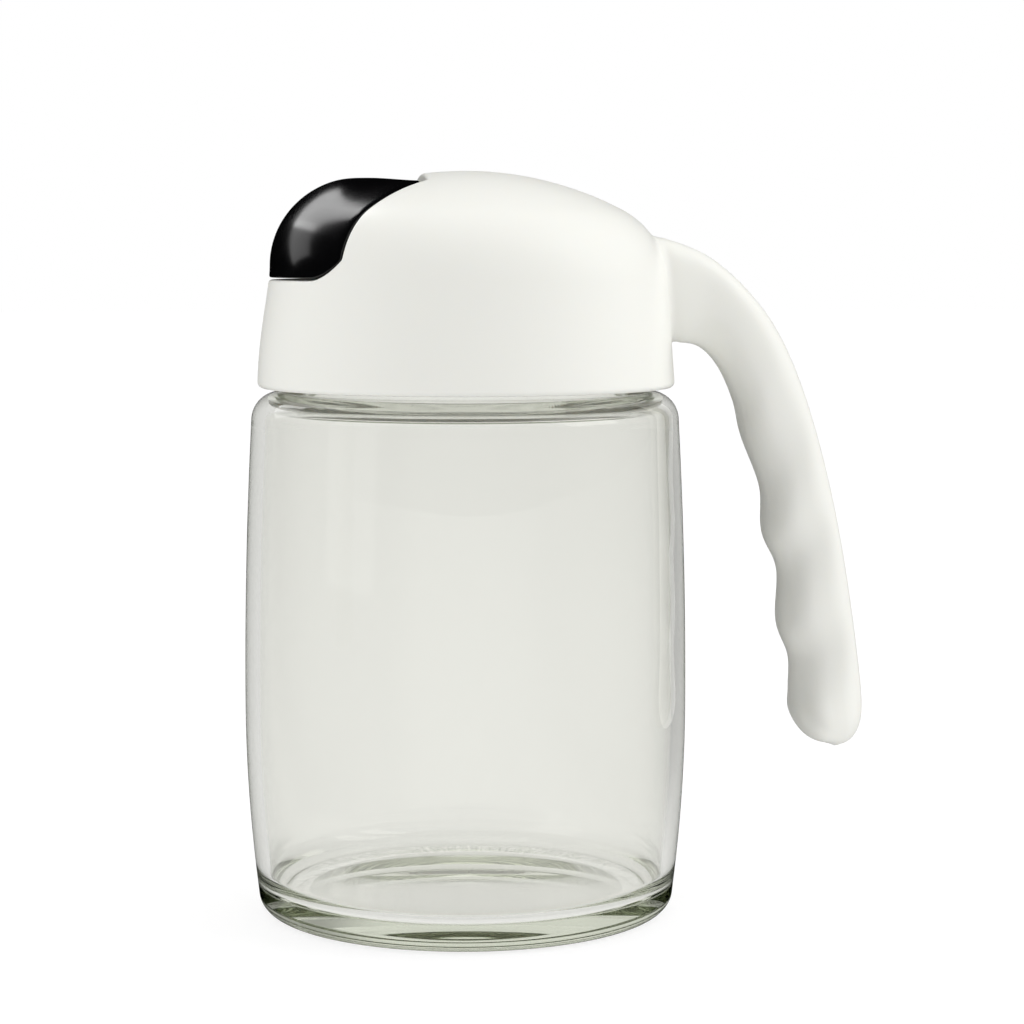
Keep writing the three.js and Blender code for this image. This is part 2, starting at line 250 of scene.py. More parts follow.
def turned_outwards(made):
    """Makes a closed mesh's faces point outwards; returns its open edges and its volume in ml."""
    work = bmesh.new()
    work.from_mesh(made.data)
    bmesh.ops.remove_doubles(work, verts=work.verts, dist=MERGING_DISTANCE)
    bmesh.ops.delete(work, geom=[v for v in work.verts if not v.link_faces], context="VERTS")
    bmesh.ops.recalc_face_normals(work, faces=work.faces)
    open_edges = sum(1 for edge in work.edges if len(edge.link_faces) != 2)
    volume = work.calc_volume(signed=True)
    if volume < 0:
        bmesh.ops.reverse_faces(work, faces=work.faces)
    work.to_mesh(made.data)
    work.free()
    return open_edges, abs(volume) * ML_PER_CUBIC_METRE


def edge_by_angle(made, degrees):
    """Keeps edges that turn by more than an angle crisp, and shades the rest smooth."""
    made.data.shade_smooth()
    made.data.set_sharp_from_angle(angle=math.radians(degrees))
    return made


def triangle_count(made):
    """Number of triangles in an object's mesh."""
    made.data.calc_loop_triangles()
    return len(made.data.loop_triangles)


print("Points closer than", round(MERGING_DISTANCE / MM, 3), "mm become one")

# %% [markdown]
# The jar's outline
#
# The jar is turned: one outline runs round the axis. The wall bulges like a barrel, most a third
# of the way up, the foot and the shoulder are rounded, and a wide neck goes up inside the cap.
# Pressed glass has a thick base with its own rounding inside, which catches light as bright
# rings, and a shallow push-up underneath, so that the jar stands on a ring and doesn't rock.

# %% The jar's outline
BELLY_RADIUS = 47.2
BELLY_HEIGHT = 45
UPPER_WALL_BULGE = 1045
LOWER_WALL_BULGE = 320
GLASS_WALL = 3
BASE_THICKNESS = 5.5
FOOT_ROUNDING = 4.2
SHOULDER_START = 105.4
SHOULDER_ROUNDING = 6
NECK_RADIUS = 38.6
MOUTH_RADIUS = 35.2
LIP_HEIGHT = 124
LIP_ROUNDING = 1.2
PUSH_UP_RADIUS = 34
PUSH_UP_HEIGHT = 1.2
PUSH_UP_POINTS = 12
INNER_FOOT_ROUNDING = FOOT_ROUNDING + 1
WALL_MARGIN = 2
WALL_STEPS = 40
INNER_WALL_STEPS = 36
ROUNDING_STEPS = 12
SHOULDER_STEPS = 8
LIP_STEPS = 5


def wall_radius(height):
    """Radius of the jar's outside at a height between the foot and the shoulder."""
    bulge = np.where(height > BELLY_HEIGHT, UPPER_WALL_BULGE, LOWER_WALL_BULGE)
    return BELLY_RADIUS - (height - BELLY_HEIGHT) ** 2 / (2 * bulge)


def arc(centre, radius, start, end, steps, rise=None):
    """Points on an arc, or on part of an ellipse with a rise of its own, angles in degrees."""
    angles = np.radians(np.linspace(start, end, steps + 1))
    heights = centre[1] + (rise or radius) * np.sin(angles)
    return np.stack([centre[0] + radius * np.cos(angles), heights], 1)


def wall(start, end, inset, steps):
    """Points on the jar's wall between two heights."""
    heights = np.linspace(start, end, steps + 1)
    return np.stack([wall_radius(heights) - inset, heights], 1)


def jar_outline():
    """The jar's outline from the middle of the base, up outside and down inside, in millimetres."""
    inner_shoulder = SHOULDER_ROUNDING - GLASS_WALL
    shoulder = (wall_radius(SHOULDER_START) - SHOULDER_ROUNDING, SHOULDER_START)
    foot = (wall_radius(FOOT_ROUNDING) - FOOT_ROUNDING, FOOT_ROUNDING)
    inner_low = BASE_THICKNESS + INNER_FOOT_ROUNDING
    inner_corner = (wall_radius(inner_low) - GLASS_WALL - INNER_FOOT_ROUNDING, inner_low)
    lip_height = LIP_HEIGHT - LIP_ROUNDING
    reach = np.linspace(0, PUSH_UP_RADIUS, PUSH_UP_POINTS)
    push_up = PUSH_UP_HEIGHT * (0.5 + 0.5 * np.cos(math.pi * reach / PUSH_UP_RADIUS))
    return np.concatenate([
        np.stack([reach, push_up], 1),
        arc(foot, FOOT_ROUNDING, -90, -8, ROUNDING_STEPS),
        wall(FOOT_ROUNDING + WALL_MARGIN, SHOULDER_START, 0, WALL_STEPS),
        arc(shoulder, SHOULDER_ROUNDING, 5, 90, ROUNDING_STEPS),
        [(NECK_RADIUS, SHOULDER_START + SHOULDER_ROUNDING)],
        arc((NECK_RADIUS - LIP_ROUNDING, lip_height), LIP_ROUNDING, 0, 90, LIP_STEPS),
        arc((MOUTH_RADIUS + LIP_ROUNDING, lip_height), LIP_ROUNDING, 90, 180, LIP_STEPS),
        [(MOUTH_RADIUS, SHOULDER_START + inner_shoulder)],
        arc(shoulder, inner_shoulder, 90, 5, SHOULDER_STEPS),
        wall(SHOULDER_START - WALL_MARGIN, inner_low + WALL_MARGIN, GLASS_WALL, INNER_WALL_STEPS),
        arc(inner_corner, INNER_FOOT_ROUNDING, 0, -90, ROUNDING_STEPS),
        [(0, BASE_THICKNESS)],
    ])


jar_line = jar_outline()
print("Jar outline:", len(jar_line), "points, widest", round(2 * jar_line[:, 0].max(), 1), "mm")

# %% [markdown]
# Turning the jar
#
# Geometry Nodes do what a lathe does: the outline goes in as a line of points, Curve to Mesh
# carries it round a tiny circle on the axis, and the points that meet on the axis are merged.
# The outline is measured from that circle, so its radius is taken off. Number of segments, circle
# and merging distance are named inputs, so that the same tree turns any other jar.

# %% The turning tree


def turning_tree():
    """A node tree that turns an outline round the Z axis."""
    tree = bpy.data.node_groups.new("turned_jar", "GeometryNodeTree")
    face = tree.interface
    for name, kind in (("Outline", "Geometry"), ("Segments", "Int"), ("Axis Circle", "Float"),
                       ("Merging Distance", "Float"), ("Material", "Material")):
        face.new_socket(name, in_out="INPUT", socket_type="NodeSocket" + kind)
    face.new_socket("Jar", in_out="OUTPUT", socket_type="NodeSocketGeometry")
    given = add_node(tree, "NodeGroupInput").outputs
    outline = add_node(tree, "GeometryNodeMeshToCurve", links={"Mesh": given["Outline"]})
    circle = add_node(tree, "GeometryNodeCurvePrimitiveCircle",
                      links={"Resolution": given["Segments"], "Radius": given["Axis Circle"]})
    upright = add_node(tree, "GeometryNodeSetCurveNormal", mode="Z_UP", links={"Curve": circle})
    turned = add_node(tree, "GeometryNodeCurveToMesh",
                      links={"Curve": upright, "Profile Curve": outline})
    merged = add_node(tree, "GeometryNodeMergeByDistance",
                      links={"Geometry": turned, "Distance": given["Merging Distance"]})
    smooth = add_node(tree, "GeometryNodeSetShadeSmooth", links={"Geometry": merged})
    real = add_node(tree, "GeometryNodeRealizeInstances", links={"Geometry": smooth})
    dressed = add_node(tree, "GeometryNodeSetMaterial",
                       links={"Geometry": real, "Material": given["Material"]})
    add_node(tree, "NodeGroupOutput", links={"Jar": dressed})
    return tree


def set_inputs(modifier, values):
    """Sets a Geometry Nodes modifier's inputs by their sockets' identifiers."""
    for item in modifier.node_group.interface.items_tree:
        if item.item_type == "SOCKET" and item.in_out == "INPUT" and item.name in values:
            modifier[item.identifier] = values[item.name]


AXIS_CIRCLE = 1.0
AXIS_MERGING = 0.002
JAR_SEGMENTS = 288


def turned_jar(name, outline, material):
    """A jar turned from rows of (radius, height) in millimetres."""
    line = bpy.data.meshes.new(name)
    points = [((radius - AXIS_CIRCLE) * MM, -height * MM, 0) for radius, height in outline]
    line.from_pydata(points, [(i, i + 1) for i in range(len(points) - 1)], [])
    made = bpy.data.objects.new(name, line)
    bpy.context.scene.collection.objects.link(made)
    turning = made.modifiers.new("turning", "NODES")
    turning.node_group = turning_tree()
    set_inputs(turning, {"Segments": JAR_SEGMENTS, "Axis Circle": AXIS_CIRCLE * MM,
                         "Merging Distance": AXIS_MERGING * MM, "Material": material})
    plain_mesh(made)
    turned_outwards(made)
    return made


jar = turned_jar("jar_glass", jar_line, clear_glass)
jar_points = np.array([v.co for v in jar.data.vertices]) / MM
print("Jar box in mm:", jar_points.min(0).round(1), jar_points.max(0).round(1))

# %% [markdown]
# The dome's two outlines
#
# The cap is a dome that is round everywhere but at the pouring side, where it swells into a blunt
# brow. So it needs two outlines, one of the round dome and one through the middle of the brow,
# both sampled at the same number of equal steps from the lower edge to the top. A skirt that
# leans in a little, as a mould needs, a rounded shoulder and a flat crown make the first.

# %% The dome's two outlines
CAP_EDGE = 112.3
SKIRT_RADIUS = 44.6
SKIRT_LEAN = 0.0745
DOME_TOP = 157.9
CROWN_RADIUS = 72
DOME_SHOULDER = 17.8
BROW_CREST = (21.8, 156.6)
BROW_FRONT = (41.3, 138)
BROW_EDGE_REACH = 44.1
BROW_BEND = (43.9, 124)
BROW_BEND_DROP = 5
BROW_BACK = 12
OUTLINE_STEPS = 800
FINE_STEPS = 300
BEND_STEPS = 120
BACK_STEPS = 200
CROWN_CENTRE = DOME_TOP - CROWN_RADIUS


def spaced(points, steps):
    """Points at equal distances along a line of many short stretches."""
    stretches = np.hypot(*np.diff(points, axis=0).T)
    walked = np.concatenate([[0], np.cumsum(stretches)])
    places = np.linspace(0, walked[-1], steps + 1)
    return np.stack([np.interp(places, walked, column) for column in points.T], 1)


def shoulder_centre():
    """Centre of the shoulder's rounding, which touches the skirt and the crown from inside."""
    reach = SKIRT_RADIUS + SKIRT_LEAN * CAP_EDGE - DOME_SHOULDER * math.hypot(1, SKIRT_LEAN)
    a = 1 + SKIRT_LEAN ** 2
    b = -2 * (reach * SKIRT_LEAN + CROWN_CENTRE)
    c = reach ** 2 + CROWN_CENTRE ** 2 - (CROWN_RADIUS - DOME_SHOULDER) ** 2
    height = (-b + math.sqrt(b ** 2 - 4 * a * c)) / (2 * a)
    return reach - SKIRT_LEAN * height, height


def dome_outline():
    """The round dome's outline, from the lower edge to the top."""
    centre = shoulder_centre()
    skirt_angle = math.degrees(math.atan(SKIRT_LEAN))
    crown_angle = math.degrees(math.atan2(centre[1] - CROWN_CENTRE, centre[0]))
    return spaced(np.concatenate([
        [(SKIRT_RADIUS, CAP_EDGE)],
        arc(centre, DOME_SHOULDER, skirt_angle, crown_angle, FINE_STEPS),
        arc((0, CROWN_CENTRE), CROWN_RADIUS, crown_angle, 90, FINE_STEPS),
    ]), OUTLINE_STEPS)


def brow_outline():
    """The outline through the middle of the brow: a slow bend, a quarter ellipse, the crown."""
    depth = BROW_FRONT[0] - BROW_CREST[0]
    rise = BROW_CREST[1] - BROW_FRONT[1]
    share = np.linspace(0, 1, BEND_STEPS)[:, None]
    ends = (1 - share) ** 3 * (BROW_EDGE_REACH, CAP_EDGE) + share ** 3 * BROW_FRONT
    low_bend = 3 * share * (1 - share) ** 2 * BROW_BEND
    high_bend = 3 * share ** 2 * (1 - share) * (BROW_FRONT[0], BROW_FRONT[1] - BROW_BEND_DROP)
    back_angle = math.degrees(math.acos(BROW_BACK / CROWN_RADIUS))
    return spaced(np.concatenate([
        ends + low_bend + high_bend,
        arc((BROW_CREST[0], BROW_FRONT[1]), depth, 0, 90, FINE_STEPS, rise),
        arc((0, CROWN_CENTRE), CROWN_RADIUS, back_angle, 90, BACK_STEPS),
    ]), OUTLINE_STEPS)


DOME_LINE = dome_outline()
BROW_LINE = brow_outline()
DOME_LENGTH = np.hypot(*np.diff(DOME_LINE, axis=0).T).sum()
print("Dome outline:", round(float(DOME_LENGTH), 1), "mm long")

# %% [markdown]
# Places on the dome
#
# Between 45 degrees and the front, the first outline changes smoothly into the second. Any place
# on the dome then has two numbers: its angle from the front, and its share of the way up. An
# inset outline lies a fixed depth inside, and gives the inner walls, the deck and the flap's
# underside, so every wall has the thickness that a moulding has.

# %% Places on the dome
CAP_WALL = 2.4
BROW_HALF_ANGLE = math.radians(45)
NORMAL_WINDOW = 51
SHARES = np.linspace(0, 1, OUTLINE_STEPS + 1)
inset_lines = {}


def softened(values, window):
    """A running average over an odd number of samples, with both ends held."""
    held = np.pad(values, window // 2, mode="edge")
    return np.convolve(held, np.ones(window) / window, mode="valid")


def inset_outline(points, inset):
    """The outline moved inwards along its normals, which turn slowly, so no corner folds over."""
    along = np.gradient(points, axis=0)
    turn = softened(np.unwrap(np.arctan2(along[:, 1], along[:, 0])), NORMAL_WINDOW)
    moved = points + inset * np.stack([-np.sin(turn), np.cos(turn)], 1)
    moved[-1, 0] = 0
    return moved


def lines_at(inset):
    """The two outlines at a depth, kept so that each depth is worked out once."""
    if inset not in inset_lines:
        inset_lines[inset] = (inset_outline(DOME_LINE, inset), inset_outline(BROW_LINE, inset))
    return inset_lines[inset]


def brow_share(angle):
    """How much of the brow a place has, from its angle off the front in radians."""
    near = np.minimum(np.abs(angle) / BROW_HALF_ANGLE, 1)
    return np.cos(near * math.pi / 2) ** 2


def on_dome(angle, share, inset=0):
    """Points for angles off the front and shares of the way up, as rows of x, y, z."""
    angle = np.asarray(angle, float)
    mix = brow_share(angle)
    dome, brow = lines_at(inset)
    radius, height = ((1 - mix) * np.interp(share, SHARES, one) + mix * np.interp(share, SHARES, two)
                      for one, two in zip(dome.T, brow.T))
    return np.stack([-radius * np.cos(angle), radius * np.sin(angle), height + 0 * angle], -1)


front = on_dome(0, 0.5)
print("Half way up the brow stands", round(float(-front[0]), 1), "mm out from the axis")

# %% [markdown]
# The flap's seam
#
# Seen from above, the flap is a fan: narrow and straight at the hinge, with curved sides that
# spread towards the front. Seen from the front, it ends in a level edge with rounded corners.
# Each view gives a distance to its outline, and the larger of the two says how far a point lies
# outside the flap. The seam at any depth and any distance is then found by walking out from the
# flap's middle in even directions until that distance is reached. All such rings have the same
# number of points, so walls and rounded edges join up one by one.

# %% The flap's seam
FLAP_WALL = 2.2
FLAP_BACK = 10.8
FLAP_BACK_DROP = 1.0
FLAP_BACK_LENGTH = 13
FLAP_BACK_HALF_WIDTH = 14.4
FLAP_SIDE = (28.6, 31)
FLAP_SIDE_BEND = (18.5, 19.8)
FLAP_EDGE = 135.5
FLAP_CORNER = 6
FLAP_GAP = 0.45
FLAP_BACK_GAP = 1.5
SEAM_POINTS = 320
# A radian round the dome is about 38 mm and the whole way up about 77 mm, so distances on the
# flat map of angle and share come out nearly true.
FLAT = np.array([38.0, 77.0])
FLAP_MIDDLE = np.array([0.0, 0.6]) * FLAT
FAR_OUT = 62.0
FAN_FRONT = 70
FAN_CURVE_STEPS = 30
HALVINGS = 24


def inside_loop(points, loop):
    """Which points of a plan or a flat map lie inside a closed loop."""
    x, y = points[:, :1], points[:, 1:]
    a, b = loop, np.roll(loop, -1, 0)
    crosses = (a[:, 1] > y) != (b[:, 1] > y)
    rise = np.where(b[:, 1] == a[:, 1], 1, b[:, 1] - a[:, 1])
    at = a[:, 0] + (y - a[:, 1]) / rise * (b[:, 0] - a[:, 0])
    return (crosses & (x < at)).sum(1) % 2 == 1


def distance_to_loop(points, loop):
    """Distance from points to the nearest stretch of a closed loop."""
    best = np.full(len(points), np.inf)
    for a, b in zip(loop, np.roll(loop, -1, 0)):
        along = b - a
        part = np.clip(((points - a) @ along) / max(along @ along, 1e-12), 0, 1)
        best = np.minimum(best, np.hypot(*(points - a - part[:, None] * along).T))
    return best


def fan_outline(back):
    """The fan in the plan, as rows of (distance to the front, side)."""
    step = np.linspace(0, 1, FAN_CURVE_STEPS)[:, None]
    end = np.array([(back, FLAP_BACK_HALF_WIDTH)])
    start = (1 - step) ** 2 * np.array([FLAP_SIDE])
    bend = 2 * step * (1 - step) * np.array([FLAP_SIDE_BEND])
    half = np.concatenate([[(FAN_FRONT, FLAP_SIDE[1])], start + bend + step ** 2 * end])
    return np.concatenate([half, half[::-1] * (1, -1)])


def outside_flap(points, back):
    """How far points lie outside the flap, negative inside it."""
    plan = np.stack([-points[:, 0], points[:, 1]], 1)
    outline = fan_outline(back)
    away = distance_to_loop(plan, outline)
    from_above = np.where(inside_loop(plan, outline), -away, away)
    side = np.abs(points[:, 1]) - FLAP_SIDE[1] + FLAP_CORNER
    below = FLAP_EDGE + FLAP_CORNER - points[:, 2]
    corner = np.hypot(np.maximum(side, 0), np.maximum(below, 0))
    from_front = corner + np.minimum(np.maximum(side, below), 0) - FLAP_CORNER
    return np.maximum(from_above, from_front)


def seam(grow, back_grow, inset):
    """Places of the ring that lies a distance outside the flap, on the dome at a depth."""
    turn = np.linspace(0, 2 * math.pi, SEAM_POINTS, endpoint=False)
    way = np.stack([np.sin(turn), -np.cos(turn)], 1)
    near, far = np.zeros(SEAM_POINTS), np.full(SEAM_POINTS, FAR_OUT)
    back = FLAP_BACK - (back_grow - grow)
    for _ in range(HALVINGS):
        half = (near + far) / 2
        places = (FLAP_MIDDLE + half[:, None] * way) / FLAT
        outside = outside_flap(on_dome(*places.T, inset), back) > grow
        far = np.where(outside, half, far)
        near = np.where(outside, near, half)
    return (FLAP_MIDDLE + near[:, None] * way) / FLAT


outer_seam = seam(0, 0, 0)
seam_points = on_dome(*outer_seam.T)
print("Seam:", len(outer_seam), "points,", round(float(np.ptp(seam_points[:, 1])), 1), "mm wide")

# %% [markdown]
# Filling a sheet up to a seam
#
# A sheet of the dome is a grid of quads over angle and share. Where the seam crosses it, the grid
# stops a cell short, and a constrained triangulation fills the strip between the last cells and
# the seam, so every point of the seam is kept and nothing overlaps. The same function fills the
# cap outside the seam, and the deck and the flap inside it.

# %% Filling a sheet
COLUMNS = 288
ROWS = 104
SEAM_CLEARANCE = 0.4
EDGE_ROUNDING = 1.2
EDGE_SHARE = EDGE_ROUNDING / DOME_LENGTH
TOUCHING = 1e-6


def filled_sheet(loop, keep_inside):
    """Places, faces and the seam's indices for the part of the grid on one side of a seam."""
    angles = np.linspace(-math.pi, math.pi, COLUMNS + 1)
    shares = np.linspace(EDGE_SHARE, 1, ROWS + 1)
    grid = np.stack(np.meshgrid(angles, shares, indexing="ij"), -1).reshape(-1, 2)
    flat_grid, flat_loop = grid * FLAT, loop * FLAT
    wanted = inside_loop(flat_grid, flat_loop) == keep_inside
    usable = wanted & (distance_to_loop(flat_grid, flat_loop) > SEAM_CLEARANCE)
    usable = usable.reshape(COLUMNS + 1, ROWS + 1)
    # A cell with four usable corners stays a quad.
    cells = usable[:-1, :-1] & usable[1:, :-1] & usable[1:, 1:] & usable[:-1, 1:]
    number = np.arange(len(grid)).reshape(COLUMNS + 1, ROWS + 1)
    corners = (number[:-1, :-1], number[:-1, 1:], number[1:, 1:], number[1:, :-1])
    faces = np.stack([corner[cells] for corner in corners], 1).tolist()
    taken = {k for face in faces for k in face}
    border = {*number[0], *number[-1], *number[:, 0], *number[:, -1]}
    # Sides that only one quad uses, and that aren't on the grid's border, face the seam.
    uses = {}
    for face in faces:
        for a, b in zip(face, face[1:] + face[:1]):
            uses[frozenset((a, b))] = uses.get(frozenset((a, b)), 0) + 1
    rim = [tuple(side) for side, count in uses.items() if count == 1 and not side <= border]
    strip = sorted({k for side in rim for k in side})
    strip += [k for k in number[usable].tolist() if k not in taken and k not in border]
    # The strip between those sides and the seam is triangulated, and its own side is kept.
    where = {k: i for i, k in enumerate(strip)}
    ties = [(where[a], where[b]) for a, b in rim]
    first, count = len(strip), len(loop)
    ties += [(first + k, first + (k + 1) % count) for k in range(count)]
    flat = [Vector(flat_grid[k]) for k in strip] + [Vector(p) for p in flat_loop]
    points, _, triangles, sources, _, _ = delaunay_2d_cdt(flat, ties, [], 0, TOUCHING)
    numbers = strip + list(range(len(grid), len(grid) + count))
    centres = np.array([sum((points[k] for k in face), Vector((0, 0))) / 3 for face in triangles])
    column = (centres[:, 0] / FLAT[0] + math.pi) / (2 * math.pi) * COLUMNS
    row = (centres[:, 1] / FLAT[1] - EDGE_SHARE) / (1 - EDGE_SHARE) * ROWS
    open_cell = ~cells[column.astype(int).clip(0, COLUMNS - 1), row.astype(int).clip(0, ROWS - 1)]
    on_side = inside_loop(centres, flat_loop) == keep_inside
    for face, ok in zip(triangles, open_cell & on_side):
        if ok:
            faces.append([numbers[sources[k][0]] for k in reversed(face)])
    return np.concatenate([grid, loop]), faces, list(range(len(grid), len(grid) + count))


print("Grid:", COLUMNS, "columns of", ROWS, "cells")

# %% [markdown]
# Joining rings into a skin
#
# Walls, rounded edges and bars are rings of points, and a band of quads joins each ring to the
# next. A skin collects such rings and sheets by number, so that neighbours share their points,
# and then becomes one closed mesh, which can be cut and joined cleanly.

# %% Skins


def rounding(radius, degrees):
    """Steps round a quarter circle, as pairs of the distances still to go in its two directions."""
    return [(radius * (1 - math.sin(a)), radius * (1 - math.cos(a))) for a in np.radians(degrees)]


class Skin:
    """Collects the points and faces of one closed mesh."""

    def __init__(self):
        self.points = []
        self.faces = []

    def add_points(self, points):
        """Adds points and returns their indices."""
        first = sum(len(p) for p in self.points)
        self.points.append(np.asarray(points))
        return list(range(first, first + len(points)))

    def add_sheet(self, loop, keep_inside, surface):
        """Adds the sheet on one side of a seam, laid on a surface, and returns its seam's indices."""
        places, faces, seam_ids = filled_sheet(loop, keep_inside)
        ids = self.add_points(surface(places))
        self.faces += [[ids[k] for k in face] for face in faces]
        return [ids[k] for k in seam_ids]

    def add_rings(self, rings, start=None, end=None):
        """Joins rings one to the next, and to the rings of indices start and end."""
        new = [self.add_points(ring) for ring in rings]
        chain = [ids for ids in (start, *new, end) if ids]
        for one, two in zip(chain, chain[1:]):
            for k in range(len(one)):
                after = (k + 1) % len(one)
                self.faces.append([one[k], one[after], two[after], two[k]])
        return new

    def closed(self, name, material):
        """The skin as a closed mesh object with its faces turned outwards."""
        made = mesh_object(name, np.concatenate(self.points), self.faces, material)
        open_edges, volume = turned_outwards(made)
        print(name, "open edges:", open_edges, "volume in ml:", round(volume, 1))
        return made


print("Half way round a 1 mm edge:", round(rounding(1, [45])[0][0], 2), "mm still to go")

# %% [markdown]
# The cap's shell
#
# The shell is one closed skin. Outside, the dome runs from its rounded lower edge up to the flap's
# seam, whose edge is rounded too: that is the thin bright line beside the black flap. From there
# the wall of the recess goes down to the deck, with a small fillet at its foot. Inside, the wall
# is 2.4 mm thick, swells round the recess, and carries a ring that sits on the jar's lip.

# %% The recess under the flap
SEAM_ROUNDING = 0.6
DECK_DEPTH = 7
DECK_FILLET = 1.0
DECK_WALL = 2.2
WALL_RINGS = 6


def seam_ring(grow, back_grow, inset):
    """Points of the ring that lies a distance outside the flap, at a depth."""
    return on_dome(*seam(grow, back_grow, inset).T, inset)


def recess_rings():
    """Rings from the dome's rounded seam down the recess's wall to the deck."""
    rings = []
    for out, inset in rounding(SEAM_ROUNDING, (18, 36, 54, 72, 90)):
        rings.append(seam_ring(FLAP_GAP + out, FLAP_BACK_GAP + out, inset))
    for inset in np.linspace(SEAM_ROUNDING, DECK_DEPTH - DECK_FILLET, WALL_RINGS)[1:]:
        rings.append(seam_ring(FLAP_GAP, FLAP_BACK_GAP, inset))
    for rise, back in rounding(DECK_FILLET, (22, 45, 68)):
        rings.append(seam_ring(FLAP_GAP - back, FLAP_BACK_GAP - back, DECK_DEPTH - rise))
    return rings


print("Recess:", len(recess_rings()), "rings down to", DECK_DEPTH, "mm")

# %% The inside of the shell
SEAT_INNER_RADIUS = 35.4
SEAT_LOW = LIP_HEIGHT + 0.3
SEAT_HIGH = SEAT_LOW + 2.4
INNER_ROWS = 46
INNER_EDGE_ROUNDING = 0.5
SKIRT_ROWS = (117, 121, SEAT_LOW)
SKIRT_TOP = 150
ROW_GAP = 1
SWELL_LENGTH = 1.6 * DECK_WALL


def wall_depth(angles, share):
    """Thickness of the cap's wall, which swells to hold the deck under the flap."""
    deep = on_dome(angles, share, DECK_DEPTH + DECK_WALL)
    away = (outside_flap(deep, FLAP_BACK - FLAP_BACK_GAP) - FLAP_GAP - DECK_WALL) / SWELL_LENGTH
    blend = np.clip(1 - away, 0, 1)
    blend = blend * blend * (3 - 2 * blend)
    return CAP_WALL + (DECK_DEPTH + DECK_WALL - CAP_WALL) * blend


def at_radius(angles, radius, height):
    """A ring at a height, with one radius or one for each angle."""
    return np.stack([-radius * np.cos(angles), radius * np.sin(angles), height + 0 * angles], -1)


def skirt_radius(angles, height, inset):
    """Radius of the skirt at a height, for each angle."""
    dome, brow = lines_at(inset)
    found = []
    for mix in brow_share(angles):
        radii, heights = ((1 - mix) * dome + mix * brow).T
        rising = heights < SKIRT_TOP
        found.append(np.interp(height, heights[rising], radii[rising]))
    return np.array(found)


def inner_rings(angles):
    """Rings from the outside's lower row round the lower edge, up the inside to the top."""
    rings = []
    for rise, inset in rounding(EDGE_ROUNDING, (15, 30, 45, 60, 75, 90)):
        reach = skirt_radius(angles, CAP_EDGE + rise, 0) - inset
        rings.append(at_radius(angles, reach, CAP_EDGE + rise))
    for rise, back in rounding(INNER_EDGE_ROUNDING, (90, 45, 0)):
        reach = skirt_radius(angles, CAP_EDGE + ROW_GAP, 0) - (CAP_WALL - back)
        rings.append(at_radius(angles, reach, CAP_EDGE + rise))
    for height in SKIRT_ROWS:
        rings.append(at_radius(angles, skirt_radius(angles, height, CAP_WALL), height))
    rings.append(at_radius(angles, SEAT_INNER_RADIUS, SEAT_LOW))
    rings.append(at_radius(angles, SEAT_INNER_RADIUS, SEAT_HIGH))
    rings.append(at_radius(angles, skirt_radius(angles, SEAT_HIGH, CAP_WALL), SEAT_HIGH))
    first = float(np.interp(SEAT_HIGH + ROW_GAP, DOME_LINE[:, 1], SHARES))
    for share in np.linspace(first, 1, INNER_ROWS):
        depth = wall_depth(angles, share)
        low, high = on_dome(angles, share, CAP_WALL), on_dome(angles, share, DECK_DEPTH + DECK_WALL)
        part = ((depth - CAP_WALL) / (DECK_DEPTH + DECK_WALL - CAP_WALL))[:, None]
        rings.append(low + part * (high - low))
    return rings


def cap_shell():
    """The whole shell: dome, recess and deck, then round the lower edge and up the inside."""
    skin = Skin()
    out = seam(FLAP_GAP + SEAM_ROUNDING, FLAP_BACK_GAP + SEAM_ROUNDING, 0)
    outside = skin.add_sheet(out, False, lambda places: on_dome(*places.T))
    deck_loop = seam(FLAP_GAP - DECK_FILLET, FLAP_BACK_GAP - DECK_FILLET, DECK_DEPTH)
    deck = skin.add_sheet(deck_loop, True, lambda places: on_dome(*places.T, DECK_DEPTH))
    skin.add_rings(recess_rings(), outside, deck)
    angles = np.linspace(-math.pi, math.pi, COLUMNS + 1)[:-1]
    lowest = [k * (ROWS + 1) for k in range(COLUMNS)]
    skin.add_rings(inner_rings(angles), lowest)
    return skin.closed("cap_shell", white_plastic)


cap = cap_shell()
print("Cap shell:", triangle_count(cap), "triangles")

# %% [markdown]
# The handle
#
# The handle is moulded with the cap: a bar that leaves the dome level, bends and runs down beside
# the jar. Its back is one smooth line, and its grip has shallow places for the fingers. Both
# lines are smooth curves through a few points, sampled at equal steps, and each pair of points
# carries one section across the bar. The section is squarer at the back than on the grip, where
# fingers close round it. Between the finger places the bar is thicker and also wider, so that low
# ridges run across its face: how much a section's thickness differs from its neighbours' average
# says how much wider its grip side is. A copy of the dome's hollow cuts off what stands inside.

# %% The handle
HANDLE_WIDTH = 18
HANDLE_TIP_LENGTH = 7
HANDLE_BACK = [(36, 145.6), (51.1, 140.5), (62.7, 130.3), (70.4, 117.4), (77, 98), (81.9, 76.2),
               (85.3, 54.2), (86.4, 42), (84.6, 36), (80.4, 33.8)]
HANDLE_GRIP = [(36, 121.6), (44.6, 121.6), (50.5, 120.6), (55, 116), (58.4, 108.5), (60.2, 101),
               (64.3, 90), (65, 80), (68.2, 72), (68.3, 60.5), (70.9, 53), (71.2, 46), (71.6, 40.6),
               (74.6, 35.8), (79.2, 33.8)]
HANDLE_STEPS = 170
SECTION_STEPS = 56
BACK_SQUARENESS = 3.2
GRIP_SQUARENESS = 2.3
# The ridges are measured against an average over 41 of the 170 steps, about two finger places.
RIDGE_WINDOW = 41
RIDGE_SHARE = 1.2
RIDGE_SPREAD = 0.8
CURVE_STEPS = 40
HOLLOW_SIDES = 96
HOLLOW_ROWS = 40
HOLLOW_START = 0.03
HOLLOW_DROP = 3


